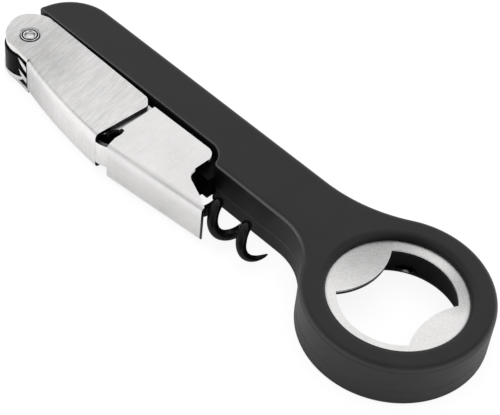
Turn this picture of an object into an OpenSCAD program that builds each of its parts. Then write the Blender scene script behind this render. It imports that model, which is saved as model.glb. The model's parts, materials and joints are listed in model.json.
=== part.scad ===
// Double-hinged waiter's corkscrew: a moulded handle with a ring end, a folding worm and a
// two-step lever. The ring holds a crown-cap opener plate and three foil-cutting wheels.
// Frame: millimetres, +X from the lever pivot towards the ring, +Z up, the underside at Z = 0.
// The lever lies on the -Y side of the handle. It is drawn folded shut.

/* [Handle] */
// Height of the handle
handle_h = 13; // [12.9:0.1:13.4]
// Distance from the origin to the ring centre
ring_x = 53.5; // [53:0.1:54]
// Outer radius of the ring
ring_r = 23; // [22.6:0.1:24]
// Radius of the hole that takes the bottle mouth
bore_r = 16.5; // [16.3:0.1:16.6]
// Half width of the bar behind the lever
bar_r = 12.7; // [12:0.1:13.5]
// Height of the seam between the two shells
seam_z = 4.9; // [4.7:0.1:5.2]

/* [Lever] */
// Thickness of the lever's sheet steel
sheet = 1.1; // [1:0.05:1.1]
// Outer height of both lever channels
channel_h = 11.4; // [11.3:0.1:11.5]
// Outer radius of the fold between a wing and its spine
fold_r = 1.3; // [1.2:0.1:1.6]

/* [Worm] */
// Radius of the worm's wire
wire_r = 1.35; // [1.1:0.05:1.35]
// Radius of the coil, measured to the wire's centre
coil_r = 2.9; // [2.7:0.05:2.9]
// Distance that the coil advances in one turn
coil_pitch = 9.8; // [9.2:0.1:9.9]

/* [Opener and foil cutter] */
// Inner radius of the opener plate
plate_r = 14.2; // [13.8:0.1:14.4]
// Radius of a foil-cutting wheel
wheel_r = 3; // [2.7:0.1:3.1]
// How far a wheel stands into the bottle hole
wheel_reach = 1.2; // [1:0.1:1.3]

/* [Hidden] */
$fn = 96;

// Colours
soft_black = [0.17, 0.17, 0.18];
gloss_black = [0.08, 0.08, 0.09];
brushed = [0.80, 0.80, 0.80];
bright = [0.90, 0.90, 0.92];

// Clearances
fit_gap = 0.05;     // a pin that turns in its hole
pocket_gap = 0.1;   // a part that lies in a moulded pocket
past = 1;           // how far a cutting shape runs past a face

// Handle plan
bar_end_x = -62.3;
neck_y = -4.6;
back_blend_r = 40;
neck_blend_r = 16;
recess_x = -8.5;
recess_r = 5.5;
seam_h = 0.25;
seam_lip_h = 0.1;
seam_in = 0.25;

// Heights of the lever's layers, mirrored about the middle of the handle
mid_z = handle_h / 2;
wing_top = mid_z + channel_h / 2;
wing_under = wing_top - sheet;
layer_gap = 0.1;
tongue_top = wing_under - layer_gap;
tongue_under = tongue_top - sheet;
core_top = tongue_under - 2 * layer_gap;
core_h = 2 * (core_top - mid_z);

// Core frame plan
core_x0 = -72;
core_x1 = -1.9;
core_y0 = -7.3;
core_y1 = 7;
core_gap_z = 0.05;

// Lever pivot
pivot = [-68.5, -8.5];
rivet_r = 2;
rivet_head_r = 2.4;
rivet_head_h = 0.15;
rivet_sink = 0.45;
sink_r = 3;
tang_r = 6.6;
washer_r = 6.9;
washer_top_r = 6.1;

// Upper arm of the lever
heel_a = [-69.9, -6.6];
heel_a_r = 6.3;
heel_b = [-67.1, -6.2];
heel_b_r = 8.95;
heel_meet_y = -4.9;
heel_low_y = -14.7;
heel_turn_r = 8.35;
upper_edge_y = heel_a.y + heel_a_r;
upper_end_x = -28.9;
upper_cut_a = [-31.2, -0.95];
upper_cut_b = [upper_end_x, -3.1];
spine_a = [-61.5, -15.3];
spine_b = [-45, -18.4];
spine_c = [-29.4, -19.8];
lip_r = 6.1;
lip_turn = 35;
lip_top = 10;

// Hinge between the two arms
hinge = [-32.6, -14.8];
hinge_r = 1.3;
hinge_lobe_r = 3;
hinge_cover = 0.3;

// Lower arm of the lever
lower_a = [-24.8, -20];
lower_b = [5.6, -16.8];
lower_edge_y = -1.5;
lower_start_x = -27;
lower_start_y = -13.2;
lower_corner = [-8.3, -4.4];
lower_corner_r = 3;
lip_notch = [-1.1, -8.4];
lip_notch_r = 4.15;
joggle_run = 0.9;
joggle_slant = 2.5;

// Worm
worm_pivot = [-33.5, -11.9];
coil_z = mid_z;
coil_phase_x = 3.1;
coil_start_x = -24.6;
coil_end_x = 21.6;
barrel_r = 2.6;
barrel_h = 4;
ear_r = 3.4;
ear_h = 1.1;
worm_pin_r = 1.25;
coil_sides = 12;
coil_steps = 24;
tip_turns = 0.45;
tip_r = 0.12;

// Opener plate
plate_top = 11;
plate_h = 1;
plate_sink = 0.5;
backing_h = 0.9;
seat_r = bore_r + 0.7;
rim_bevel_r = bore_r + 2;
lug_1_x = -7.3;
lug_1_r = 16.6;
lug_2_x = 9.1;
lug_2_r = 18.7;

// Foil cutter
cutter_r = 21.8;
lip_h = 0.9;
wheel_z = 2;
wheel_t = 0.6;
wheel_hub_r = 2.5;
wheel_edge_t = 0.08;
wheel_slot_t = 0.8;
wheel_pin_r = 0.6;
wheel_pin_z = 1.3;
wheel_centre_r = bore_r - wheel_reach + wheel_r;

// Screws
screw_places = [[-58, 4], [-28, 4], [2, 4], [26, 4]];
screw_r = 1;
screw_head_r = 1.9;
screw_head_h = 1.3;
screw_head_z = 0.5;
screw_top = 11;
driver_w = 0.5;
driver_l = 2.2;
driver_h = 0.7;

// ---------- helpers ----------

function arc_points(c, r, a0, a1, n) = [
    for (i = [0 : n]) c + r * [cos(a0 + (a1 - a0) * i / n), sin(a0 + (a1 - a0) * i / n)]
];

function circle_centre(a, b, c) =
    let (d = 2 * (a.x * (b.y - c.y) + b.x * (c.y - a.y) + c.x * (a.y - b.y)))
    [
        ((a * a) * (b.y - c.y) + (b * b) * (c.y - a.y) + (c * c) * (a.y - b.y)) / d,
        ((a * a) * (c.x - b.x) + (b * b) * (a.x - c.x) + (c * c) * (b.x - a.x)) / d
    ];

module slab(z0, z1) {
    translate([0, 0, z0]) linear_extrude(z1 - z0) children();
}

module rod(at, r, z0, z1) {
    translate([at.x, at.y, z0]) cylinder(r = r, h = z1 - z0);
}

module both_sides() {
    children();
    translate([0, 0, handle_h]) mirror([0, 0, 1]) children();
}

// ---------- handle ----------

// Centre of the concave fillet between the bar's edge at height y and the ring
function blend_centre(y, r) =
    [ring_x - sqrt(pow(ring_r + r, 2) - pow(abs(y) + r, 2)), y + sign(y) * r];

// Part of the plan that the folded lever lies over
module lever_recess(inset) {
    far = 90;
    translate([-far, -far]) square([far + recess_x, far + inset]);
    translate([-far, -far]) square([far + recess_x + recess_r + inset, far - recess_r]);
    translate([recess_x, -recess_r]) circle(r = recess_r + inset);
}

// The bar starts a little inside the round end, and the fillets bite a hair into the bar and
// the ring, so that no two outlines only touch
module handle_plan(inset = 0) {
    back = blend_centre(bar_r, back_blend_r);
    front = blend_centre(neck_y, neck_blend_r);
    start_x = bar_end_x + 0.5;
    bite = 0.01;
    difference() {
        union() {
            translate([ring_x, 0]) circle(r = ring_r - inset);
            translate([bar_end_x, 0]) circle(r = bar_r - inset);
            difference() {
                polygon([
                    [start_x, neck_y + inset], [start_x, bar_r - inset],
                    [back.x, bar_r - inset], back, [ring_x, 0],
                    front, [front.x, neck_y + inset]
                ]);
                translate(back) circle(r = back_blend_r + inset + bite);
                translate(front) circle(r = neck_blend_r + inset + bite);
            }
        }
        lever_recess(inset);
    }
}

// The core frame lies between the shells and stands out of them along the lever's recess
module core_plan(gap = 0) {
    translate([core_x0 - gap, core_y0 - gap])
        square([core_x1 - core_x0 + 2 * gap, core_y1 - core_y0 + 2 * gap]);
}

module core_pocket() {
    slab(mid_z - core_h / 2 - core_gap_z, core_top + core_gap_z) core_plan(pocket_gap);
}

module upper_shell() {
    color(soft_black)
    difference() {
        union() {
            slab(seam_z, seam_z + seam_lip_h) handle_plan(seam_in);
            slab(seam_z + seam_lip_h, handle_h) handle_plan();
        }
        core_pocket();
        rod([ring_x, 0], seat_r + pocket_gap, 0, plate_top);
        translate([ring_x, 0, plate_top - 0.01])
            cylinder(r1 = bore_r, r2 = rim_bevel_r, h = handle_h - plate_top + 0.02);
        for (p = screw_places) rod(p, screw_r, 0, screw_top);
    }
}

module lower_shell() {
    color(soft_black)
    difference() {
        union() {
            slab(0, seam_z - seam_h) handle_plan();
            slab(seam_z - seam_h, seam_z) handle_plan(seam_in);
        }
        core_pocket();
        rod([ring_x, 0], bore_r, -past, handle_h);
        rod([ring_x, 0], cutter_r + pocket_gap, lip_h, handle_h);
        for (p = screw_places) {
            rod(p, screw_r + fit_gap, -past, handle_h);
            rod(p, screw_head_r + pocket_gap, -past, screw_head_z + screw_head_h);
        }
    }
}

module shell_screws() {
    color(bright)
    for (p = screw_places) difference() {
        union() {
            rod(p, screw_head_r, screw_head_z, screw_head_z + screw_head_h);
            rod(p, screw_r, screw_head_z + screw_head_h, screw_top - pocket_gap);
        }
        for (a = [0, 90])
            translate([p.x, p.y, screw_head_z + driver_h / 2 - past / 2])
                rotate([0, 0, a]) cube([driver_l, driver_w, driver_h + past], center = true);
    }
}

module core_frame() {
    web_r = barrel_r + 0.6;
    color(gloss_black)
    difference() {
        union() {
            slab(mid_z - core_h / 2, core_top) {
                core_plan();
                translate(pivot) circle(r = tang_r);
                translate([pivot.x - tang_r, pivot.y])
                    square([2 * tang_r, -pivot.y - pocket_gap]);
            }
            both_sides()
                slab(core_top - ear_h, core_top) {
                    translate(worm_pivot) circle(r = ear_r);
                    translate([worm_pivot.x - ear_r, worm_pivot.y])
                        square([2 * ear_r, -worm_pivot.y]);
                }
        }
        rod(pivot, rivet_r + fit_gap, -past, handle_h);
        rod(worm_pivot, worm_pin_r, -past, handle_h);
        rod(worm_pivot, web_r, core_top - ear_h - barrel_h - 0.2, core_top - ear_h);
        for (p = screw_places) rod(p, screw_r + fit_gap, -past, handle_h);
    }
}

// ---------- lever pivot ----------

module pivot_washer(r, z0, z1) {
    color(bright)
    difference() {
        rod(pivot, r, z0, z1);
        rod(pivot, rivet_r + fit_gap, z0 - past, z1 + past);
    }
}

module pivot_washer_top() {
    pivot_washer(washer_top_r, core_top + core_gap_z, tongue_top);
}

module pivot_washer_bottom() {
    pivot_washer(washer_r, handle_h - tongue_top, handle_h - core_top - core_gap_z);
}

// Pair of bent spring leaves on the front of the tang, inside the sweep of the upper arm's spine
module pivot_spring() {
    front_y = -14.6;
    back_y = pivot.y - 3;
    drop = 3.9;
    color(bright)
    difference() {
        for (z = [0, -drop])
            translate([0, back_y, z]) rotate([90, 0, 0]) linear_extrude(back_y - front_y)
                polygon([
                    [-65.9, 9.5], [-64.6, 9], [-63.5, 8.5], [-62.7, 8],
                    [-62.7, 6.3], [-63.8, 6.8], [-65.1, 8]
                ]);
        rod(pivot, tang_r + fit_gap, -past, handle_h);
        rod(pivot, washer_r + fit_gap, -past, handle_h - core_top);
    }
}

// Tubular rivet whose heads lie in countersinks, each with a dimple in the middle
module lever_rivet() {
    dimple_r = 1.7;
    dimple_h = 0.7;
    head_top = wing_top + rivet_head_h;
    head_z = wing_top - rivet_sink;
    roll_r = 0.25;
    color(bright)
    translate([pivot.x, pivot.y, 0])
    difference() {
        union() {
            translate([0, 0, handle_h - head_z]) cylinder(r = rivet_r, h = 2 * head_z - handle_h);
            both_sides() {
                translate([0, 0, head_z])
                    cylinder(r = rivet_head_r - roll_r, h = head_top - head_z);
                translate([0, 0, head_z])
                    cylinder(r = rivet_head_r, h = head_top - head_z - roll_r);
                translate([0, 0, head_top - roll_r]) rotate_extrude()
                    translate([rivet_head_r - roll_r, 0]) circle(r = roll_r, $fn = 32);
            }
        }
        both_sides() difference() {
            translate([0, 0, head_top - dimple_h])
                cylinder(r1 = dimple_r - 0.35, r2 = dimple_r, h = dimple_h + 0.01);
            translate([0, 0, head_top - dimple_h - 1.1]) sphere(r = 1.5);
        }
    }
}

// ---------- lever ----------

// Section of a channel whose open side faces -X
module channel_section(depth) {
    low = mid_z - channel_h / 2;
    difference() {
        union() {
            translate([-depth, low]) square([depth - fold_r, channel_h]);
            translate([-depth, low + fold_r]) square([depth, channel_h - 2 * fold_r]);
            for (z = [low + fold_r, low + channel_h - fold_r])
                translate([-fold_r, z]) circle(r = fold_r);
        }
        translate([-depth - past, low + sheet])
            square([depth + past - sheet, channel_h - 2 * sheet]);
    }
}

// Rounded end of a wing, kept inside the circle that clears the handle as the lever turns
module heel_plan() {
    intersection() {
        translate(heel_a) circle(r = heel_a_r);
        translate(pivot) circle(r = heel_turn_r);
    }
    intersection() {
        translate(heel_b) circle(r = heel_b_r);
        translate([heel_b.x - heel_b_r - past, heel_low_y])
            square([2 * heel_b_r, heel_meet_y - heel_low_y]);
    }
}

// Wing beside the pivot, where there is no spine
module heel_side_plan() {
    end_x = spine_a.x + 0.3;
    heel_plan();
    polygon([
        pivot, [pivot.x + 0.2, upper_edge_y - 0.02], [end_x, upper_edge_at(end_x)],
        [end_x, spine_a.y], [heel_b.x, heel_low_y + 0.01]
    ]);
}

// Handle side of the upper arm, which leans away from the handle towards its end
function upper_edge_at(x) =
    upper_edge_y + (upper_cut_a.y - upper_edge_y) * (x - pivot.x) / (upper_cut_a.x - pivot.x);

// Wing in front of the spine, left long on the spine's side
module upper_wing_plan() {
    soft = 0.35;
    polygon([
        [spine_a.x, spine_a.y - 5], [spine_a.x, upper_edge_at(spine_a.x)],
        [upper_cut_a.x - soft, upper_cut_a.y + 0.01], [upper_cut_a.x + soft, upper_cut_a.y - 0.25],
        [upper_cut_b.x - 0.15, upper_cut_b.y + soft], [upper_cut_b.x, upper_cut_b.y - soft],
        [upper_end_x - 0.6, spine_c.y - 5]
    ]);
}

// End of the spine that rolls inwards, ahead of the lower arm
module rolled_lip(centre) {
    inward = (centre - spine_c) / norm(centre - spine_c);
    lip_centre = spine_c + (lip_r + 0.02) * inward;
    start = atan2(-inward.y, -inward.x);
    far = 3 * lip_r;
    slab(handle_h - lip_top, lip_top) translate(lip_centre) intersection() {
        difference() {
            circle(r = lip_r);
            circle(r = lip_r - sheet);
        }
        polygon([
            [0, 0], far * [cos(start - 6), sin(start - 6)],
            far * [cos(start + lip_turn / 2), sin(start + lip_turn / 2)],
            far * [cos(start + lip_turn), sin(start + lip_turn)]
        ]);
    }
}

module lever_arm_upper() {
    centre = circle_centre(spine_a, spine_b, spine_c);
    spine_r = norm(spine_b - centre);
    color(brushed)
    difference() {
        union() {
            intersection() {
                translate([centre.x, centre.y, 0])
                    rotate_extrude($fn = 720) translate([spine_r, 0]) channel_section(30);
                slab(0, handle_h) upper_wing_plan();
            }
            both_sides() slab(wing_under, wing_top) heel_side_plan();
            rolled_lip(centre);
        }
        rod(pivot, rivet_r, -past, handle_h + past);
        both_sides() translate([pivot.x, pivot.y, wing_top - rivet_sink])
            cylinder(r1 = rivet_head_r, r2 = sink_r, h = rivet_sink + 0.001);
        rod(hinge, hinge_r, mid_z - channel_h / 2 + hinge_cover, wing_top - hinge_cover);
    }
}

module hinge_rivets() {
    color(bright)
    both_sides() rod(hinge, hinge_r, tongue_under, wing_top - hinge_cover);
}

// The lower arm's step leans: this is where its line from (x, lower_start_y) meets the arm's edge
function slant_end(x) =
    let (run = lower_edge_y - 0.3 - lower_start_y)
    [x - run * tan(joggle_slant), lower_edge_y - 0.3];

// Flat wing of the lower arm, left long on the spine's side
module lower_wing_plan() {
    polygon(concat(
        [[lower_start_x, lower_start_y], slant_end(lower_start_x)],
        arc_points(lower_corner, lower_corner_r, 90, 0, 12),
        arc_points(lip_notch, lip_notch_r, 180, 255, 12),
        [[3.2, -14.6], [lower_b.x, lower_b.y + 0.9], [lower_b.x, lower_b.y - 6]],
        [[lower_a.x, lower_a.y - 6], [lower_a.x, lower_a.y + 0.5], [-25.5, -16.7]],
        [[-25.5, lower_start_y - 1.3], [-26, lower_start_y]]
    ));
}

// Tongue that reaches in under the upper arm's wing
module tongue_plan() {
    end_x = lower_start_x - joggle_run - 0.2;
    translate(hinge) circle(r = hinge_lobe_r);
    polygon([
        [hinge.x - 2.6, hinge.y + 1.5], slant_end(end_x - 1.2), slant_end(end_x),
        [end_x, lower_start_y], [hinge.x + 2.2, hinge.y - 2.04]
    ]);
}

// Sloping step from the tongue up to the wing
module joggle() {
    foot = -joggle_run;
    run = lower_edge_y - 0.35 - lower_start_y;
    translate([lower_start_x, lower_start_y, 0]) rotate([0, 0, joggle_slant])
        translate([0, run, 0]) rotate([90, 0, 0]) linear_extrude(run)
            polygon([
                [foot - 0.6, tongue_under], [foot - 0.6, tongue_top], [foot, tongue_top],
                [0, wing_top], [0.9, wing_top], [0.9, wing_under], [0.6, wing_under],
                [foot + 0.6, tongue_under]
            ]);
}

module lever_arm_lower() {
    along = lower_b - lower_a;
    color(brushed)
    difference() {
        union() {
            intersection() {
                translate([lower_a.x, lower_a.y, 0])
                    rotate([0, 0, atan2(along.y, along.x)])
                        translate([-10, 0, 0]) rotate([90, 0, 90])
                            linear_extrude(60) mirror([1, 0]) channel_section(30);
                slab(0, handle_h) lower_wing_plan();
            }
            both_sides() {
                joggle();
                slab(tongue_under, tongue_top) tongue_plan();
            }
        }
        rod(hinge, hinge_r + fit_gap, -past, handle_h + past);
    }
}

// ---------- worm ----------

// Angle round the coil at a distance x along its axis
function coil_angle(x) = 360 * (x - coil_phase_x) / coil_pitch;

// The coil opens out from the straight shank over its first half turn
function coil_open(x) =
    let (t = (x - coil_start_x) / (coil_pitch * 0.6))
    x <= coil_start_x ? 0 : t >= 1 ? 1 : t * t * (3 - 2 * t);

function coil_at(x) = [
    x,
    worm_pivot.y + coil_r * coil_open(x) * cos(coil_angle(x)),
    coil_z + coil_r * coil_open(x) * sin(coil_angle(x))
];

function coil_wire(x) =
    let (left = (coil_end_x - x) / (coil_pitch * tip_turns))
    left >= 1 ? wire_r : tip_r + (wire_r - tip_r) * sqrt(max(left, 0));

function coil_ring(x) =
    let (
        step = 0.02,
        ahead = coil_at(x + step) - coil_at(x - step),
        along = ahead / norm(ahead),
        out = [0, cos(coil_angle(x)), sin(coil_angle(x))],
        across = out - (out * along) * along,
        n = across / norm(across),
        b = cross(along, n)
    )
    [
        for (i = [0 : coil_sides - 1])
            coil_at(x) + coil_wire(x) * (cos(360 * i / coil_sides) * n + sin(360 * i / coil_sides) * b)
    ];

module worm() {
    shank_x = worm_pivot.x + 1.6;
    dx = coil_pitch / coil_steps;
    count = ceil((coil_end_x - coil_start_x) / dx);
    xs = concat(
        [shank_x, coil_start_x - 2],
        [for (i = [0 : count]) coil_start_x + (coil_end_x - coil_start_x) * i / count]
    );
    rings = [for (x = xs) each coil_ring(x)];
    last = len(xs) - 1;
    n = coil_sides;
    sides = [
        for (k = [0 : last - 1]) for (i = [0 : n - 1])
            let (a = k * n + i, b = k * n + (i + 1) % n)
            each [[a, b, b + n], [a, b + n, a + n]]
    ];
    caps = [[for (i = [n - 1 : -1 : 0]) i], [for (i = [0 : n - 1]) last * n + i]];
    color(gloss_black) polyhedron(points = rings, faces = concat(caps, sides));
}

module worm_barrel() {
    color(gloss_black)
    difference() {
        rod(worm_pivot, barrel_r, mid_z - barrel_h / 2, mid_z + barrel_h / 2);
        rod(worm_pivot, worm_pin_r + fit_gap, -past, handle_h);
        translate([worm_pivot.x, worm_pivot.y, coil_z])
            rotate([0, 90, 0]) cylinder(r = wire_r + 0.02, h = barrel_r + past);
    }
}

module worm_pin() {
    color(bright) rod(worm_pivot, worm_pin_r, mid_z - core_h / 2, core_top);
}

// ---------- ring end ----------

module lug_plan(x, r, side) {
    translate([x + side * r, 0]) circle(r = r, $fn = 192);
}

// Opening between the two lugs that grip a crown cap
module mouth_plan(grow = 0) {
    difference() {
        circle(r = plate_r + grow);
        lug_plan(lug_1_x - grow, lug_1_r, -1);
        lug_plan(lug_2_x + grow, lug_2_r, 1);
    }
}

module opener_plate() {
    color(brushed)
    translate([ring_x, 0, plate_top - plate_h])
    difference() {
        cylinder(r = seat_r, h = plate_h);
        translate([0, 0, plate_h - plate_sink])
            cylinder(r1 = plate_r, r2 = bore_r, h = plate_sink + 0.001);
        slab(-past, plate_h) mouth_plan();
    }
}

module wheel_place(i) {
    translate([ring_x, 0, 0]) rotate([0, 0, 120 * (i - 1)])
        translate([wheel_centre_r, 0, 0]) children();
}

// Black moulding inside the ring: it backs the opener plate and houses the wheels
module cutter_ring() {
    backing_top = plate_top - plate_h;
    backing_z = backing_top - backing_h;
    color(gloss_black)
    difference() {
        union() {
            rod([ring_x, 0], cutter_r, lip_h, seam_z);
            rod([ring_x, 0], seat_r, lip_h, backing_top);
        }
        rod([ring_x, 0], bore_r, -past, backing_z);
        translate([ring_x, 0, 0]) slab(backing_z - past, handle_h) mouth_plan(0.1);
        for (i = [1 : 3]) wheel_place(i) {
            rod([0, 0], wheel_r + 0.3, wheel_z - wheel_slot_t / 2, wheel_z + wheel_slot_t / 2);
            rod([0, 0], wheel_pin_r, wheel_pin_z, seam_z + past);
        }
    }
}

module foil_wheel(i) {
    half = wheel_t / 2;
    edge = wheel_edge_t / 2;
    hole = wheel_pin_r + fit_gap;
    color(bright)
    wheel_place(i) translate([0, 0, wheel_z]) rotate_extrude()
        polygon([
            [hole, -half], [wheel_hub_r, -half], [wheel_r, -edge],
            [wheel_r, edge], [wheel_hub_r, half], [hole, half]
        ]);
}

module foil_wheel_pin(i) {
    color(bright) wheel_place(i) rod([0, 0], wheel_pin_r, wheel_pin_z, seam_z);
}

module foil_wheel_1() { foil_wheel(1); }
module foil_wheel_2() { foil_wheel(2); }
module foil_wheel_3() { foil_wheel(3); }
module foil_wheel_pin_1() { foil_wheel_pin(1); }
module foil_wheel_pin_2() { foil_wheel_pin(2); }
module foil_wheel_pin_3() { foil_wheel_pin(3); }

upper_shell();
lower_shell();
shell_screws();
core_frame();
pivot_washer_top();
pivot_washer_bottom();
pivot_spring();
lever_rivet();
lever_arm_upper();
hinge_rivets();
lever_arm_lower();
worm();
worm_barrel();
worm_pin();
opener_plate();
cutter_ring();
foil_wheel_1();
foil_wheel_2();
foil_wheel_3();
foil_wheel_pin_1();
foil_wheel_pin_2();
foil_wheel_pin_3();
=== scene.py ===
import json
import math

import bmesh
import bpy
from mathutils import Matrix, Vector
from mathutils.geometry import tessellate_polygon


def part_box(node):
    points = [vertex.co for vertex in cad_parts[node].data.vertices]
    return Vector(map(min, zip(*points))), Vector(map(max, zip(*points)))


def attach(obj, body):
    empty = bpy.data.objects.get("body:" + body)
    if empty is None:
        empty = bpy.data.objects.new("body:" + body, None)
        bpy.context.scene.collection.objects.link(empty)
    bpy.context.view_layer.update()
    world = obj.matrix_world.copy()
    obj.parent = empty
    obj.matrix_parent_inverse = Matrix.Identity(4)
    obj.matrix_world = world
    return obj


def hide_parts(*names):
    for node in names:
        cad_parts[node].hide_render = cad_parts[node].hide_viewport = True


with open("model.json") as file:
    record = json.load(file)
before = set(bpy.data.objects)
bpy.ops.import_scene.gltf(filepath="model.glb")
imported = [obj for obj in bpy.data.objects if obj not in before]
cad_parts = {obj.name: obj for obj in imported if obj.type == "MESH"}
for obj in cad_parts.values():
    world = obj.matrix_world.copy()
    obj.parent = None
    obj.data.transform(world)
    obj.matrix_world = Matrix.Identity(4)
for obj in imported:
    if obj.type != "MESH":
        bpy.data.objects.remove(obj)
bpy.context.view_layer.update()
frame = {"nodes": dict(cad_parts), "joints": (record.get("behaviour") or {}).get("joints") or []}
nodes = frame["nodes"]
joints = {joint["name"]: joint for joint in frame["joints"]}

MM = 0.001


def node_box_mm(name):
    """Lowest and highest corner of a CAD node, in millimetres."""
    low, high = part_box(name)
    return low / MM, high / MM


def joint_place_mm(name):
    """A point on a CAD joint's axis, in millimetres."""
    return Vector(joints[name]["pos_m"]) / MM


# ---------- sizes, in millimetres ----------

UPPER_LOW, UPPER_HIGH = node_box_mm("upper_shell")
PLATE_LOW, PLATE_HIGH = node_box_mm("opener_plate")
SLEEVE_LOW, SLEEVE_HIGH = node_box_mm("cutter_ring")
RIVET_LOW, RIVET_HIGH = node_box_mm("lever_rivet")
ARM_LOW, ARM_HIGH = node_box_mm("lever_arm_upper")
WORM_HIGH = node_box_mm("worm")[1]

PIVOT = joint_place_mm("lever_swing")
HINGE = joint_place_mm("lower_arm_swing")
WORM_PIVOT = joint_place_mm("worm_swing")

TOP = UPPER_HIGH.z
SEAM = UPPER_LOW.z
RING = Vector(((PLATE_LOW.x + PLATE_HIGH.x) / 2, 0))
RING_R = UPPER_HIGH.y
SEAT_R = (PLATE_HIGH.x - PLATE_LOW.x) / 2
SEAT_LEDGE = 0.7
BORE_R = SEAT_R - SEAT_LEDGE
FIT_GAP = 0.1
POCKET_R = (SLEEVE_HIGH.x - SLEEVE_LOW.x) / 2 + FIT_GAP

BAR_R = 12.7
BAR_END = Vector((UPPER_LOW.x + BAR_R, 0))
NECK_Y = -4.6
BACK_BLEND_R = 40
NECK_BLEND_R = 16
RECESS_X = -8.5
RECESS_R = 5.5
NECK_CORNER = 1.2
HEEL_CORNER = 0.8

EDGE_R = 1.7
UNDER_EDGE_R = 1.0

# How much of the rounded edge each part of the outline gets, from 0 to 1
RECESS_SOFTNESS = 0.35
NECK_SOFTNESS = 0.6
BLEND_SOFTNESS = 0.8
FULL_SOFTNESS = 1

# Points along each stretch of the outline
COUNTS = {
    "recess_edge": 20, "recess": 14, "neck_corner": 6, "neck": 8, "neck_blend": 16,
    "ring": 110, "back_blend": 20, "back": 24, "bar_end": 26, "heel_corner": 5,
}

# The fine groove at the seam: (inset, distance from the seam), from the joint face to the wall
UPPER_SEAM = [(0.15, 0), (0.05, 0.03), (0.03, 0.08), (0, 0.2)]
LOWER_SEAM = [(0.15, 0), (0.05, 0.07), (0.03, 0.14), (0, 0.3)]

# The rolled lip that leads down to the opener plate
LIP_R = 1.9
LIP_FOOT_R = BORE_R + 0.3
LIP_STEP_DEGREES = 10

# The bore's lower edge: (distance outside the bore, height)
BORE_FOOT = [(0.5, 0), (0.15, 0.15), (0, 0.5)]

SCREW_PLACES = [Vector((x, 4)) for x in (-58, -28, 2, 26)]
SCREW_WELL_R = 2.0
SCREW_WELL_DEPTH = 1.8
SCREW_LEAD_IN = 0.25
SCREW_SIDES = 40

# The rivet head's profile: (distance in from the flange's edge, drop from the top)
RIVET_FLANGE = [(0.4, 0.6), (0, 0.6), (0, 0.28), (0.08, 0.2), (0.2, 0.2)]
RIVET_GROOVE = [(0.28, 0.65), (0.52, 0.65)]
RIVET_RIM = [(0.58, 0.2), (0.64, 0.08), (0.76, 0), (0.88, 0.06), (0.98, 0.24)]
RIVET_DIMPLE = [(1.2, 0.75), (1.5, 0.82), (1.9, 0.7), (2.3, 0.62)]
RIVET_SIDES = 64

WIRE_R = 1.35
WIRE_SIDES = 28
SHANK_OUT = 1.6
SHANK_CHAMFER = 0.1
COIL_R = 2.9
COIL_PITCH = 9.8
COIL_PHASE_X = 3.1
COIL_START_X = -24.6
COIL_RUN_UP = 2
COIL_OPENING_TURNS = 0.6
COIL_STEPS = 330
COIL_PROBE = 0.02
TIP_GAP = 0.1
TIP_TURNS = 0.5
TIP_R = 0.08
TIP_CURVE = 0.55


# ---------- mesh helpers ----------

def clamp(value):
    return min(max(value, 0), 1)


def arc(centre, radius, start, end, count):
    """Points along an arc, angles in degrees."""
    turns = [math.radians(start + (end - start) * i / count) for i in range(count + 1)]
    return [
        Vector((centre.x + radius * math.cos(t), centre.y + radius * math.sin(t)))
        for t in turns
    ]


def circle_points(centre, radius, count=128):
    return arc(centre, radius, 0, 360 - 360 / count, count - 1)


def line(a, b, count):
    return [a.lerp(b, i / count) for i in range(count + 1)]


def soft_corner(a, corner, b, count):
    """A quadratic curve from a to b that rounds off the corner."""
    steps = [i / count for i in range(count + 1)]
    return [a.lerp(corner, t).lerp(corner.lerp(b, t), t) for t in steps]


def quarter(radius, count=7):
    """(inset, drop) pairs round a convex edge, from the wall to the face."""
    turns = [math.radians(90 * i / count) for i in range(count + 1)]
    return [(radius * (1 - math.cos(t)), radius * (1 - math.sin(t))) for t in turns]


class Skin:
    """Collects loops of points in millimetres and joins them into one closed mesh."""

    def __init__(self):
        self.bm = bmesh.new()

    def loop(self, points):
        return [self.bm.verts.new(Vector(p) * MM) for p in points]

    def circle(self, centre, radius, z, count=128):
        return self.loop((p.x, p.y, z) for p in circle_points(centre, radius, count))

    def bridge(self, loops):
        """Joins each loop to the next with a band of four-sided faces."""
        for a, b in zip(loops, loops[1:]):
            for i in range(len(a)):
                j = (i + 1) % len(a)
                self.bm.faces.new((a[i], a[j], b[j], b[i]))

    def cap(self, outer, holes=()):
        """Fills a flat loop, round any holes in it."""
        rings = [outer] + list(holes)
        flat = [v for ring in rings for v in ring]
        for triangle in tessellate_polygon([[v.co for v in ring] for ring in rings]):
            self.bm.faces.new([flat[i] for i in triangle])

    def finish(self, name, sharp=35):
        bmesh.ops.recalc_face_normals(self.bm, faces=self.bm.faces)
        mesh = bpy.data.meshes.new(name)
        self.bm.to_mesh(mesh)
        self.bm.free()
        piece = bpy.data.objects.new(name, mesh)
        bpy.context.scene.collection.objects.link(piece)
        shade(piece, sharp)
        return piece


def weigh_normals(piece, weight, keep_sharp):
    """Turns the shading of narrow faces towards that of the large ones beside them."""
    weighted = piece.modifiers.new("weighted", "WEIGHTED_NORMAL")
    weighted.keep_sharp = keep_sharp
    weighted.weight = weight


def shade(piece, sharp):
    """Smooth shading that keeps edges sharper than the given angle, in degrees."""
    for polygon in piece.data.polygons:
        polygon.use_smooth = True
    piece.data.set_sharp_from_angle(angle=math.radians(sharp))
    weigh_normals(piece, weight=80, keep_sharp=True)


# ---------- handle ----------

def blend_centre(y, radius):
    """Centre of the arc that joins the ring to a straight side at y."""
    reach = abs(y) + radius
    along = math.sqrt((RING_R + radius) ** 2 - reach ** 2)
    return Vector((RING.x - along, math.copysign(reach, y)))


def turn_to_ring(centre):
    """Direction from a blend's centre to the ring's centre, in degrees."""
    return math.degrees(math.atan2(-centre.y, RING.x - centre.x))


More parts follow.
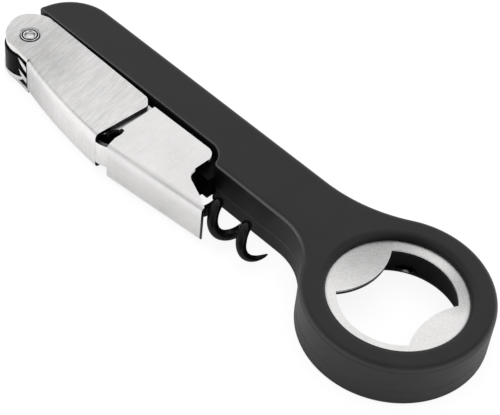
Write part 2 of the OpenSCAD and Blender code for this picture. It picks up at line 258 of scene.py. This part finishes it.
def neck_stretches(inset):
    """The recess and the neck beside it: points, softness at the start, softness at the end."""
    centre = Vector((RECESS_X, -RECESS_R))
    radius = RECESS_R + inset
    y = NECK_Y + inset
    turn = math.degrees(math.asin((y - centre.y) / radius))
    step = math.degrees(NECK_CORNER / radius)
    corner_x = centre.x + radius * math.cos(math.radians(turn))
    blend = blend_centre(NECK_Y, NECK_BLEND_R)
    ring_turn = turn_to_ring(blend)

    recess = arc(centre, radius, 90, turn + step, COUNTS["recess"])
    start = Vector((corner_x + NECK_CORNER, y))
    corner = soft_corner(recess[-1], Vector((corner_x, y)), start, COUNTS["neck_corner"])
    neck = line(start, Vector((blend.x, y)), COUNTS["neck"])
    round_blend = arc(blend, NECK_BLEND_R + inset, 90, ring_turn, COUNTS["neck_blend"])
    return [
        (recess, RECESS_SOFTNESS, RECESS_SOFTNESS),
        (corner, RECESS_SOFTNESS, NECK_SOFTNESS),
        (neck, NECK_SOFTNESS, BLEND_SOFTNESS),
        (round_blend, BLEND_SOFTNESS, FULL_SOFTNESS),
    ]


def back_stretches(inset):
    """The ring and the handle's plain side, in the same form."""
    blend = blend_centre(BAR_R, BACK_BLEND_R)
    front_turn = turn_to_ring(blend_centre(NECK_Y, NECK_BLEND_R))
    back_turn = turn_to_ring(blend)
    y = BAR_R - inset
    stretches = [
        arc(RING, RING_R - inset, front_turn + 180, back_turn + 540, COUNTS["ring"]),
        arc(blend, BACK_BLEND_R + inset, back_turn, -90, COUNTS["back_blend"]),
        line(Vector((blend.x, y)), Vector((BAR_END.x, y)), COUNTS["back"]),
    ]
    return [(stretch, FULL_SOFTNESS, FULL_SOFTNESS) for stretch in stretches]


def handle_outline(inset):
    """(point, edge softness) pairs round the handle's plan, drawn in by inset.

    The number of points is always the same."""
    end_r = BAR_R - inset
    heel_turn = math.degrees(math.asin(inset / end_r))
    heel_step = math.degrees(HEEL_CORNER / end_r)
    heel_x = BAR_END.x - math.sqrt(end_r ** 2 - inset ** 2)
    heel = Vector((heel_x, inset))
    after_heel = Vector((heel_x + HEEL_CORNER, inset))
    recess_start = Vector((RECESS_X, inset))

    recess_edge = line(after_heel, recess_start, COUNTS["recess_edge"])
    bar_end = arc(BAR_END, end_r, 90, 180 - heel_turn - heel_step, COUNTS["bar_end"])
    heel_corner = soft_corner(bar_end[-1], heel, after_heel, COUNTS["heel_corner"])
    stretches = [
        (recess_edge, RECESS_SOFTNESS, RECESS_SOFTNESS),
        *neck_stretches(inset),
        *back_stretches(inset),
        (bar_end, FULL_SOFTNESS, FULL_SOFTNESS),
        (heel_corner, FULL_SOFTNESS, RECESS_SOFTNESS),
    ]
    outline = []
    for stretch, first, last in stretches:
        count = len(stretch) - 1
        outline += [(p, first + (last - first) * i / count) for i, p in enumerate(stretch[:-1])]
    return outline


def edge_loop(inset, drop, face_z, side):
    """One loop round the handle's edge, side 1 for the upper and -1 for the lower.

    The edge is tighter where the handle is less soft."""
    loop = []
    for (wall, softness), (inner, _) in zip(handle_outline(0), handle_outline(inset)):
        at = wall.lerp(inner, softness)
        loop.append((at.x, at.y, face_z - side * drop * softness))
    return loop


def flat_loop(inset, z):
    return [(p.x, p.y, z) for p, _ in handle_outline(inset)]


def upper_shell_skin():
    """Upper half of the handle, with soft edges and a rolled lip round the opener plate."""
    skin = Skin()
    outer = [skin.loop(flat_loop(inset, SEAM + rise)) for inset, rise in UPPER_SEAM]
    outer += [skin.loop(edge_loop(inset, drop, TOP, 1)) for inset, drop in quarter(EDGE_R)]
    skin.bridge(outer)

    lip = []
    for degrees in range(0, 91, LIP_STEP_DEGREES):
        turn = math.radians(degrees)
        lip.append((LIP_FOOT_R + LIP_R * (1 - math.sin(turn)), TOP - LIP_R * (1 - math.cos(turn))))
    lip += [(SEAT_R + FIT_GAP, PLATE_HIGH.z), (SEAT_R + FIT_GAP, SEAM)]
    bore = [skin.circle(RING, r, z) for r, z in lip]
    skin.bridge(bore)
    skin.cap(outer[-1], [bore[0]])
    skin.cap(outer[0], [bore[-1]])
    return skin.finish("upper_shell_skin")


def lower_shell_skin():
    """Lower half of the handle, with the screw wells and the pocket of the cutter ring."""
    skin = Skin()
    edge = reversed(quarter(UNDER_EDGE_R))
    outer = [skin.loop(edge_loop(inset, drop, 0, -1)) for inset, drop in edge]
    outer += [skin.loop(flat_loop(inset, SEAM - drop)) for inset, drop in reversed(LOWER_SEAM)]
    skin.bridge(outer)

    steps = [(BORE_R + out, z) for out, z in BORE_FOOT]
    steps += [(BORE_R, SLEEVE_LOW.z), (POCKET_R, SLEEVE_LOW.z), (POCKET_R, SEAM)]
    bore = [skin.circle(RING, r, z) for r, z in steps]
    skin.bridge(bore)

    well = [
        (SCREW_WELL_R + SCREW_LEAD_IN, 0),
        (SCREW_WELL_R, SCREW_LEAD_IN),
        (SCREW_WELL_R, SCREW_WELL_DEPTH),
    ]
    mouths = []
    for place in SCREW_PLACES:
        rings = [skin.circle(place, r, z, SCREW_SIDES) for r, z in well]
        skin.bridge(rings)
        skin.cap(rings[-1])
        mouths.append(rings[0])
    skin.cap(outer[0], [bore[0]] + mouths)
    skin.cap(outer[-1], [bore[-1]])
    return skin.finish("lower_shell_skin")


# ---------- lever rivet ----------

def rivet_skin():
    """The lever's rivet: both heads have a flange, a groove, a rolled rim and a dimple."""
    flange_r = (RIVET_HIGH.x - RIVET_LOW.x) / 2
    profile = RIVET_FLANGE + RIVET_GROOVE + RIVET_RIM + RIVET_DIMPLE
    head = [(flange_r - inwards, RIVET_HIGH.z - drop) for inwards, drop in profile]
    under = [(r, 2 * PIVOT.z - z) for r, z in reversed(head)]
    skin = Skin()
    loops = [skin.circle(PIVOT, r, z, RIVET_SIDES) for r, z in under + head]
    skin.bridge(loops)
    skin.cap(loops[0])
    skin.cap(loops[-1])
    return skin.finish("lever_rivet_skin")


# ---------- worm ----------

def coil_point(x, out):
    """A point beyond the wire's centre line by out, away from the worm's axis."""
    angle = 2 * math.pi * (x - COIL_PHASE_X) / COIL_PITCH
    opened = clamp((x - COIL_START_X) / (COIL_PITCH * COIL_OPENING_TURNS))
    radius = COIL_R * opened * opened * (3 - 2 * opened) + out
    y = WORM_PIVOT.y + radius * math.cos(angle)
    z = WORM_PIVOT.z + radius * math.sin(angle)
    return Vector((x, y, z))


def coil_frame(x):
    """Centre of the wire at x, with two directions across it."""
    centre = coil_point(x, 0)
    along = (coil_point(x + COIL_PROBE, 0) - coil_point(x - COIL_PROBE, 0)).normalized()
    out = coil_point(x, 1) - centre
    side = (out - out.dot(along) * along).normalized()
    return centre, side, along.cross(side)


def worm_wire():
    """The worm as one round wire that runs from the barrel to a ground point."""
    end_x = WORM_HIGH.x - TIP_GAP
    shank_x = WORM_PIVOT.x + SHANK_OUT
    coil_length = end_x - COIL_START_X
    xs = [shank_x, shank_x + SHANK_CHAMFER, COIL_START_X - COIL_RUN_UP]
    xs += [COIL_START_X + coil_length * i / COIL_STEPS for i in range(COIL_STEPS + 1)]
    turns = [2 * math.pi * i / WIRE_SIDES for i in range(WIRE_SIDES)]

    skin = Skin()
    loops = []
    for x in xs:
        centre, side, up = coil_frame(x)
        left = clamp((end_x - x) / (COIL_PITCH * TIP_TURNS))
        radius = TIP_R + (WIRE_R - TIP_R) * left ** TIP_CURVE
        if x == shank_x:
            radius = WIRE_R - SHANK_CHAMFER
        loops.append(skin.loop(
            centre + radius * (math.cos(t) * side + math.sin(t) * up) for t in turns
        ))
    skin.bridge(loops)
    skin.bm.faces.new(loops[0])
    skin.bm.faces.new(loops[-1])
    return skin.finish("worm_wire", sharp=60)


# ---------- materials ----------

class Nodes:
    """A material's node tree, with short calls to add and join nodes."""

    def __init__(self, name):
        self.material = bpy.data.materials.new(name)
        self.material.use_nodes = True
        self.tree = self.material.node_tree
        self.shader = self.tree.nodes["Principled BSDF"]

    def add(self, kind, inputs=(), **settings):
        """A new node, with its settings and the values of the inputs named."""
        node = self.tree.nodes.new(kind)
        for key, value in settings.items():
            setattr(node, key, value)
        for key, value in dict(inputs).items():
            node.inputs[key].default_value = value
        return node

    def join(self, a, b):
        self.tree.links.new(a, b)

    def set(self, **values):
        """Sets plain numbers on the shader."""
        for key, value in values.items():
            self.shader.inputs[key.replace("_", " ")].default_value = value

    def drive(self, **sources):
        """Joins sockets to the shader's inputs."""
        for key, source in sources.items():
            self.join(source, self.shader.inputs[key.replace("_", " ")])

    def coords(self, output):
        return self.add("ShaderNodeTexCoord").outputs[output]

    def split(self, vector, axis):
        node = self.add("ShaderNodeSeparateXYZ")
        self.join(vector, node.inputs[0])
        return node.outputs[axis]

    def place(self, scale=(1, 1, 1), turn=(0, 0, 0)):
        """Object coordinates in millimetres, turned and then scaled along the turned axes."""
        coords = self.coords("Object")
        mapping = self.add("ShaderNodeMapping", vector_type="TEXTURE", inputs={
            "Scale": [MM / s for s in scale],
            "Rotation": turn,
        })
        self.join(coords, mapping.inputs["Vector"])
        return mapping.outputs["Vector"]

    def noise(self, vector, scale, detail, rough):
        node = self.add("ShaderNodeTexNoise", inputs={
            "Scale": scale,
            "Detail": detail,
            "Roughness": rough,
        })
        self.join(vector, node.inputs["Vector"])
        return node.outputs["Fac"]

    def spread(self, value, low, high, from_low=0.3, from_high=0.7):
        """Maps a value, by default a noise's usual range, to low and high."""
        node = self.add("ShaderNodeMapRange", inputs={
            "From Min": from_low,
            "From Max": from_high,
            "To Min": low,
            "To Max": high,
        })
        self.join(value, node.inputs["Value"])
        return node.outputs["Result"]

    def math(self, operation, a, b):
        node = self.add("ShaderNodeMath", operation=operation)
        for socket, value in zip(node.inputs, (a, b)):
            if isinstance(value, (int, float)):
                socket.default_value = value
            else:
                self.join(value, socket)
        return node.outputs["Value"]

    def plus(self, first, *others):
        for other in others:
            first = self.math("ADD", first, other)
        return first

    def minus(self, a, b):
        return self.math("SUBTRACT", a, b)

    def times(self, first, *others):
        for other in others:
            first = self.math("MULTIPLY", first, other)
        return first

    def ramp(self, value, dark, light):
        """A mix of two colours, dark at 0 and light at 1."""
        node = self.add("ShaderNodeMix", data_type="RGBA")
        factor, first, second = (node.inputs[i] for i in (0, 6, 7))
        first.default_value = (*dark, 1)
        second.default_value = (*light, 1)
        self.join(value, factor)
        return node.outputs[2]

    def edge(self, width, low=0.75, high=0.99):
        """1 along convex edges, 0 on flat faces."""
        bevel = self.add("ShaderNodeBevel", samples=4, inputs={"Radius": width * MM})
        geometry = self.add("ShaderNodeNewGeometry")
        dot = self.add("ShaderNodeVectorMath", operation="DOT_PRODUCT")
        self.join(bevel.outputs["Normal"], dot.inputs[0])
        self.join(geometry.outputs["Normal"], dot.inputs[1])
        return self.spread(dot.outputs["Value"], 1, 0, low, high)

    def hollow(self, reach, low=0.25, high=0.85):
        """0 in the open, 1 deep in a gap or corner."""
        shut = self.add("ShaderNodeAmbientOcclusion", samples=8, inputs={"Distance": reach * MM})
        return self.spread(shut.outputs["AO"], 1, 0, low, high)

    def facing(self, axis, low, high):
        """0 to 1 as the surface turns to face along the piece's own X, Y or Z, either way."""
        part = self.split(self.coords("Normal"), axis)
        return self.spread(self.math("ABSOLUTE", part, 0), 0, 1, low, high)

    def rise(self, low, high):
        """0 to 1 over a range of the piece's own Z, in millimetres."""
        return self.spread(self.split(self.coords("Object"), "Z"), 0, 1, low * MM, high * MM)

    def distance(self, centre, near, far):
        """0 within near of a point, 1 beyond far, in millimetres."""
        gap = self.add("ShaderNodeVectorMath", operation="DISTANCE", inputs={1: centre * MM})
        self.join(self.coords("Object"), gap.inputs[0])
        node = self.add("ShaderNodeMapRange", interpolation_type="SMOOTHSTEP", inputs={
            "From Min": near * MM,
            "From Max": far * MM,
        })
        self.join(gap.outputs["Value"], node.inputs["Value"])
        return node.outputs["Result"]

    def bump(self, height, strength, distance):
        node = self.add("ShaderNodeBump", inputs={
            "Strength": strength,
            "Distance": distance * MM,
        })
        self.join(height, node.inputs["Height"])
        self.drive(Normal=node.outputs["Normal"])


def grey(tone):
    return (tone, tone, tone)


# The painted highlight on the handle's rounded edges and seam fades in between these distances
# from the ring's middle and is full beyond the second
HIGHLIGHT_START_R = RING_R - 3
HIGHLIGHT_FULL_R = RING_R + 7


def soft_touch():
    """Matt rubbery coating: a fine grain, faint rub marks and a painted highlight along the
    rounded edges and the seam.
    """
    m = Nodes("soft_touch_black")
    grain = m.noise(m.place(), scale=9, detail=3, rough=0.6)
    cloud = m.noise(m.place(), scale=0.09, detail=5, rough=0.6)
    rub = m.noise(m.place((0.25, 2.5, 1), (0, 0, 0.5)), scale=1.1, detail=6, rough=0.7)

    # Painted highlight: the rounded edges and the seam are painted pale, though not round the ring
    rounded = m.minus(m.facing("Z", low=0.2, high=0.5), m.facing("Z", low=0.6, high=0.9))
    corner = m.math("MAXIMUM", rounded, m.edge(width=0.5, low=0.93, high=0.998))
    away = m.distance(Vector((RING.x, 0, SEAM)), near=HIGHLIGHT_START_R, far=HIGHLIGHT_FULL_R)
    edge_highlight = m.times(corner, m.times(away, m.spread(rub, 0.6, 1)))
    tone = m.plus(m.spread(cloud, 0, 0.05), edge_highlight)
    rough = m.plus(m.spread(cloud, 0.43, 0.52), m.spread(rub, -0.03, 0.04),
                   m.spread(grain, -0.03, 0.03))
    # The pale end of this colour ramp is the painted highlight
    m.drive(Base_Color=m.ramp(tone, (0.0025, 0.0025, 0.0026), grey(0.12)), Roughness=rough)
    m.bump(m.plus(grain, m.times(rub, 0.25)), strength=0.10, distance=0.05)
    m.set(Specular_IOR_Level=0.44)
    return m.material


# Heights from just under the inner face of the lever arms' bottom wing to just under the top wing
ARM_CHANNEL = (ARM_LOW.z + 0.8, ARM_HIGH.z - 1.5)

# Brushed steel: colours as shares of the tone, and how far each mark moves the tone, painted
# highlight and painted shade among them
STEEL_DARK = 0.06
STEEL_PALE = 1.2
STEEL_TINT = (1, 0.988, 0.983)
STROKE_SHARE = 0.20
HAIR_SHARE = 0.11
STREAK_SHARE = 0.10
SMUDGE = 0.05
PATCH_CORE = 0.1
UPRIGHT_CALM = 0.6
EDGE_HIGHLIGHT = 0.3
EDGE_POLISH = 0.1
FOLD_HIGHLIGHT = 0.2
FOLD_REACH = 4
CHANNEL_SHADE = 0.7
CHANNEL_FADE = 0.3
X_FACING_DARK = 0.85
HOLLOW_SHADE = 0.95


def brushed_steel(name, *, turn, tone, side, patches, depth, brush, fleck, channel=None):
    """Stainless sheet: brush strokes and smudges, darker spots of painted reflection round the
    points given, and painted highlight and painted shade by edge, fold and hollow.

    turn: direction of the strokes, in degrees
    tone: brightness of the level faces
    side: how much paler the long upright faces are than the level ones, as painted light; below 0
    it is painted shade
    patches: points round which the sheet gets a darker spot of painted reflection, each with its
    reach in millimetres
    depth: how dark a spot of painted reflection is
    brush, fleck: strength of the strokes and of the fine grain
    channel: heights inside a folded sheet between which level faces get painted shade"""
    m = Nodes(name)
    dark = grey(tone * STEEL_DARK)
    pale = tuple(min(1, tone * STEEL_PALE) * tint for tint in STEEL_TINT)
    level = (tone - dark[0]) / (pale[0] - dark[0])

    across = (0, 0, math.radians(turn))
    hair = m.noise(m.place((0.9, 6, 0.25), across), scale=1.4, detail=5, rough=0.7)
    stroke = m.noise(m.place((0.22, 1.7, 0.15), across), scale=1.0, detail=4, rough=0.6)
    streak = m.noise(m.place((0.05, 0.5, 0.1), across), scale=1.2, detail=4, rough=0.6)
    smudge = m.noise(m.place(), scale=0.10, detail=5, rough=0.62)
    speck = m.noise(m.place(), scale=3.2, detail=2, rough=0.5)
    shares = (
        (stroke, STROKE_SHARE * brush),
        (hair, HAIR_SHARE * brush),
        (streak, STREAK_SHARE * brush),
        (speck, fleck),
    )
    grain = m.plus(*(m.times(m.spread(mark, -0.5, 0.5), share) for mark, share in shares))

    upright = m.facing("Y", low=0.5, high=0.95)
    calm = m.minus(1, m.times(upright, UPRIGHT_CALM))
    body = m.plus(m.times(grain, calm), m.spread(smudge, level - SMUDGE, level + SMUDGE))
    # Painted shade: a darker spot of painted reflection round each point given
    for place, reach in patches:
        inside = m.minus(1, m.distance(place, near=reach * PATCH_CORE, far=reach))
        body = m.minus(body, m.times(inside, depth))
    # Painted highlight along the convex edges
    body = m.plus(body, m.times(m.edge(width=0.35), EDGE_HIGHLIGHT))
    # Painted light on the upright faces: a paler band under the top fold, and paler all over for
    # side above 0, darker for side below 0
    fold_highlight = m.times(m.rise(ARM_HIGH.z - FOLD_REACH, ARM_HIGH.z), FOLD_HIGHLIGHT)
    body = m.plus(body, m.times(upright, m.plus(fold_highlight, side)))
    # Painted shade on the level faces inside the channel between the wings
    if channel:
        low, high = channel
        within = m.minus(m.rise(low - CHANNEL_FADE, low), m.rise(high, high + CHANNEL_FADE))
        painted_shade = m.times(within, m.facing("Z", low=0.8, high=0.95))
        body = m.minus(body, m.times(painted_shade, CHANNEL_SHADE))
    # Faces turned along the piece's X, the sheet's end faces among them, are darkened
    body = m.minus(body, m.times(m.facing("X", low=0.8, high=0.97), X_FACING_DARK))
    # Painted shade in gaps and corners
    body = m.minus(body, m.times(m.hollow(reach=1.1), HOLLOW_SHADE))

    rough = m.plus(m.spread(hair, 0.25, 0.35), m.spread(smudge, -0.03, 0.04))
    polished = m.times(m.edge(width=0.12), EDGE_POLISH)
    m.drive(Base_Color=m.ramp(body, dark, pale), Roughness=m.minus(rough, polished))
    m.bump(m.plus(hair, stroke), strength=0.12 * brush, distance=0.02)
    m.set(Metallic=1.0)
    return m.material


def gloss_black(name, rough, specular):
    """Smooth black coating on metal, with a little orange peel, fine scuffs, and a painted
    highlight along the edges.
    """
    m = Nodes(name)
    peel = m.noise(m.place(), scale=1.4, detail=3, rough=0.5)
    scuff = m.noise(m.place((0.4, 5, 0.4), (0.3, 0.2, 0.6)), scale=1.3, detail=8, rough=0.75)
    # Scuffs are real wear; the edge term is a painted highlight
    scuffs_and_edge_highlight = m.plus(m.spread(scuff, 0, 0.5), m.times(m.edge(width=0.25), 0.5))
    m.drive(
        Base_Color=m.ramp(scuffs_and_edge_highlight, (0.002, 0.002, 0.0021), (0.006, 0.0059, 0.006)),
        Roughness=m.plus(m.spread(scuff, rough - 0.04, rough + 0.08), m.spread(peel, -0.02, 0.02)),
    )
    m.bump(m.plus(peel, m.times(scuff, 0.2)), strength=0.12, distance=0.03)
    m.set(Specular_IOR_Level=specular)
    return m.material


def bright_steel(name, *, painted_shade, reach, tone):
    """Turned and polished steel: light scratches, and painted shade where it meets its neighbours.
    """
    m = Nodes(name)
    scratch = m.noise(m.place((0.3, 7, 1), (0, 0, 0.8)), scale=1.5, detail=8, rough=0.75)
    cloud = m.noise(m.place(), scale=0.6, detail=4, rough=0.5)
    # Painted shade in gaps and corners darkens the scratched steel
    scratches_and_crevice_shade = m.minus(m.spread(scratch, 0.8, 1), m.times(m.hollow(reach), painted_shade))
    m.drive(
        Base_Color=m.ramp(scratches_and_crevice_shade, grey(0.03), grey(tone)),
        Roughness=m.plus(m.spread(scratch, 0.07, 0.15), m.spread(cloud, -0.02, 0.03)),
    )
    m.bump(scratch, strength=0.06, distance=0.02)
    m.set(Metallic=1.0)
    return m.material


FLOOR_GLOW = 1.05
FLOOR_GLOW_SHARE = 0.85


def white_floor():
    """Pale studio floor that glows for the camera's own rays, so that shadows on it stay faint."""
    m = Nodes("studio_floor")
    mottle = m.noise(m.place(), scale=0.02, detail=3, rough=0.5)
    m.drive(Base_Color=m.ramp(m.spread(mottle, 0, 1), grey(0.93), grey(0.95)))
    m.set(Roughness=0.7, Specular_IOR_Level=0.2)
    glow = m.add("ShaderNodeEmission", inputs={"Strength": FLOOR_GLOW})
    path = m.add("ShaderNodeLightPath")
    mix = m.add("ShaderNodeMixShader")
    m.join(m.times(path.outputs["Is Camera Ray"], FLOOR_GLOW_SHARE), mix.inputs[0])
    m.join(m.shader.outputs[0], mix.inputs[1])
    m.join(glow.outputs[0], mix.inputs[2])
    m.join(mix.outputs[0], m.tree.nodes["Material Output"].inputs["Surface"])
    return m.material


def dress(piece, material):
    piece.data.materials.clear()
    piece.data.materials.append(material)


WELD_REACH = 0.002
FLAT_DEGREES = 0.5
SHARP_DEGREES = 30


def soften(piece, width):
    """A small rounded edge on a CAD node, whose own mesh stays as it is."""
    weld = piece.modifiers.new("weld", "WELD")
    weld.merge_threshold = WELD_REACH * MM
    flat = piece.modifiers.new("flat", "DECIMATE")
    flat.decimate_type = "DISSOLVE"
    flat.angle_limit = math.radians(FLAT_DEGREES)
    bevel = piece.modifiers.new("bevel", "BEVEL")
    bevel.width = width * MM
    bevel.segments = 2
    bevel.angle_limit = math.radians(SHARP_DEGREES)
    bevel.harden_normals = False
    weigh_normals(piece, weight=90, keep_sharp=False)


# ---------- stage, in metres ----------

CAMERA_PLACE = Vector((178.19, -200.19, 284.78)) * MM
CAMERA_AZIMUTH = 40.685
CAMERA_ELEVATION = 47.031
CAMERA_ROLL = 6.539
CAMERA_LENS = 112.79
CAMERA_SENSOR = 36
CAMERA_NEAR = 0.01

FLOOR_HALF = 1.6
FLOOR_DROP = 0.00005

SURROUND = 0.87
# Soft darker patches of the surround: direction, inner and outer angle in degrees, change
SHADES = [
    ((0.5, -0.6, 0.45), 10, 55, -0.62),
    ((0.42, 0.5, 0.75), 6, 28, -0.5),
    ((-0.45, -0.42, 0.8), 4, 24, -0.45),
]

LIGHT_PLACE = (0.05, 0.0, 0.9)
LIGHT_SIZE = 1.2
LIGHT_POWER = 5


def add_camera():
    azimuth, elevation, roll = (
        math.radians(v) for v in (CAMERA_AZIMUTH, CAMERA_ELEVATION, CAMERA_ROLL)
    )
    away = math.cos(elevation)
    back = Vector((math.sin(azimuth) * away, -math.cos(azimuth) * away, math.sin(elevation)))
    level = Vector((math.cos(azimuth), math.sin(azimuth), 0))
    rise = back.cross(level)
    right = math.cos(roll) * level + math.sin(roll) * rise
    up = -math.sin(roll) * level + math.cos(roll) * rise
    camera = bpy.data.cameras.new("camera")
    camera.lens = CAMERA_LENS
    camera.sensor_width = CAMERA_SENSOR
    camera.clip_start = CAMERA_NEAR
    holder = bpy.data.objects.new("camera", camera)
    bpy.context.scene.collection.objects.link(holder)
    turn = Matrix((right, up, back)).transposed().to_4x4()
    holder.matrix_world = Matrix.Translation(CAMERA_PLACE) @ turn
    bpy.context.scene.camera = holder


def add_light():
    """A soft square light that faces the middle of the floor."""
    light = bpy.data.lights.new("fill", "AREA")
    light.shape = "RECTANGLE"
    light.size = LIGHT_SIZE
    light.size_y = LIGHT_SIZE
    light.energy = LIGHT_POWER
    holder = bpy.data.objects.new("fill", light)
    bpy.context.scene.collection.objects.link(holder)
    holder.visible_glossy = False
    holder.location = LIGHT_PLACE
    holder.rotation_euler = (-Vector(LIGHT_PLACE)).to_track_quat("-Z", "Y").to_euler()


def add_floor():
    low, high = -FLOOR_HALF, FLOOR_HALF
    corners = [(low, low, 0), (high, low, 0), (high, high, 0), (low, high, 0)]
    mesh = bpy.data.meshes.new("floor")
    mesh.from_pydata(corners, [], [(0, 1, 2, 3)])
    floor = bpy.data.objects.new("floor", mesh)
    floor.location.z = -FLOOR_DROP
    bpy.context.scene.collection.objects.link(floor)
    dress(floor, white_floor())


def add_world():
    """An even white surround, changed by soft round patches."""
    world = bpy.data.worlds.new("studio")
    world.use_nodes = True
    tree = world.node_tree
    background = tree.nodes["Background"]
    background.inputs["Color"].default_value = (1, 1, 1, 1)
    coords = tree.nodes.new("ShaderNodeTexCoord")
    total = None
    for direction, inner, outer, change in SHADES:
        dot = tree.nodes.new("ShaderNodeVectorMath")
        dot.operation = "DOT_PRODUCT"
        dot.inputs[1].default_value = Vector(direction).normalized()
        tree.links.new(coords.outputs["Generated"], dot.inputs[0])
        patch = tree.nodes.new("ShaderNodeMapRange")
        patch.interpolation_type = "SMOOTHSTEP"
        patch.inputs["From Min"].default_value = math.cos(math.radians(outer))
        patch.inputs["From Max"].default_value = math.cos(math.radians(inner))
        patch.inputs["To Max"].default_value = change
        tree.links.new(dot.outputs["Value"], patch.inputs["Value"])
        add = tree.nodes.new("ShaderNodeMath")
        add.inputs[0].default_value = SURROUND
        tree.links.new(patch.outputs["Result"], add.inputs[1])
        if total:
            tree.links.new(total, add.inputs[0])
        total = add.outputs["Value"]
    tree.links.new(total, background.inputs["Strength"])
    bpy.context.scene.world = world


# ---------- the object ----------

add_camera()
add_floor()
add_world()
add_light()
bpy.context.scene.view_settings.view_transform = "Standard"

coating = soft_touch()
# In the calls below, patches mark spots of painted darker reflection, and side paints the upright
# faces paler on the upper arm and darker on the lower arm
brushed_upper = brushed_steel(
    "brushed_steel_upper", turn=102, tone=0.84, side=0.08,
    patches=[(PIVOT + Vector((7, -2, 5.7)), 22)], depth=0.2,
    brush=1.0, fleck=0.03, channel=ARM_CHANNEL,
)
brushed_lower = brushed_steel(
    "brushed_steel_lower", turn=98, tone=0.9, side=-0.12,
    patches=[(HINGE, 12)], depth=0.05,
    brush=0.3, fleck=0.02, channel=ARM_CHANNEL,
)
brushed_plate = brushed_steel(
    "brushed_steel_plate", turn=60, tone=0.92, side=0,
    patches=[
        (Vector((RING.x - 15, 8, PLATE_HIGH.z)), 20),
        (Vector((RING.x + 10, 15, PLATE_HIGH.z)), 12),
    ],
    depth=0.42, brush=0.25, fleck=0.16,
)
worm_black = gloss_black("worm_black", rough=0.15, specular=0.18)
# The core frame is near-black with almost no reflection; where it fills the lever's notch it
# stands partly for shade
frame_black = gloss_black("frame_black", rough=0.3, specular=0.05)
ring_black = gloss_black("ring_black", rough=0.3, specular=0.1)
# The rivets and screws get strong painted shade in their grooves, the plain bright steel only a
# trace
rivet_bright = bright_steel("bright_steel_rivets", painted_shade=4.5, reach=0.5, tone=0.98)
# The foil wheels get a darker copy of the bright steel: painted shade deep in the bore
wheel_steel = bright_steel("shaded_steel_wheels", painted_shade=3.5, reach=0.9, tone=0.22)
bright = bright_steel("bright_steel", painted_shade=0.1, reach=0.9, tone=0.96)

upper = upper_shell_skin()
lower = lower_shell_skin()
for piece, node in ((upper, "upper_shell"), (lower, "lower_shell")):
    dress(piece, coating)
    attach(piece, "handle")
    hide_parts(node)

wire = worm_wire()
dress(wire, worm_black)
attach(wire, "worm")
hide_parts("worm")

rivet = rivet_skin()
dress(rivet, rivet_bright)
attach(rivet, "lever_upper")
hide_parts("lever_rivet")

finishes = {
    "lever_arm_upper": brushed_upper,
    "lever_arm_lower": brushed_lower,
    "opener_plate": brushed_plate,
    "core_frame": frame_black,
    "cutter_ring": ring_black,
    "shell_screws": rivet_bright,
    "worm_barrel": worm_black,
}
for name, piece in nodes.items():
    usual = wheel_steel if name.startswith("foil_wheel") else bright
    dress(piece, finishes.get(name, usual))

EDGE_WIDTHS = {
    "lever_arm_upper": 0.16,
    "lever_arm_lower": 0.16,
    "opener_plate": 0.12,
    "core_frame": 0.12,
    "cutter_ring": 0.12,
}
for name, width in EDGE_WIDTHS.items():
    soften(nodes[name], width)
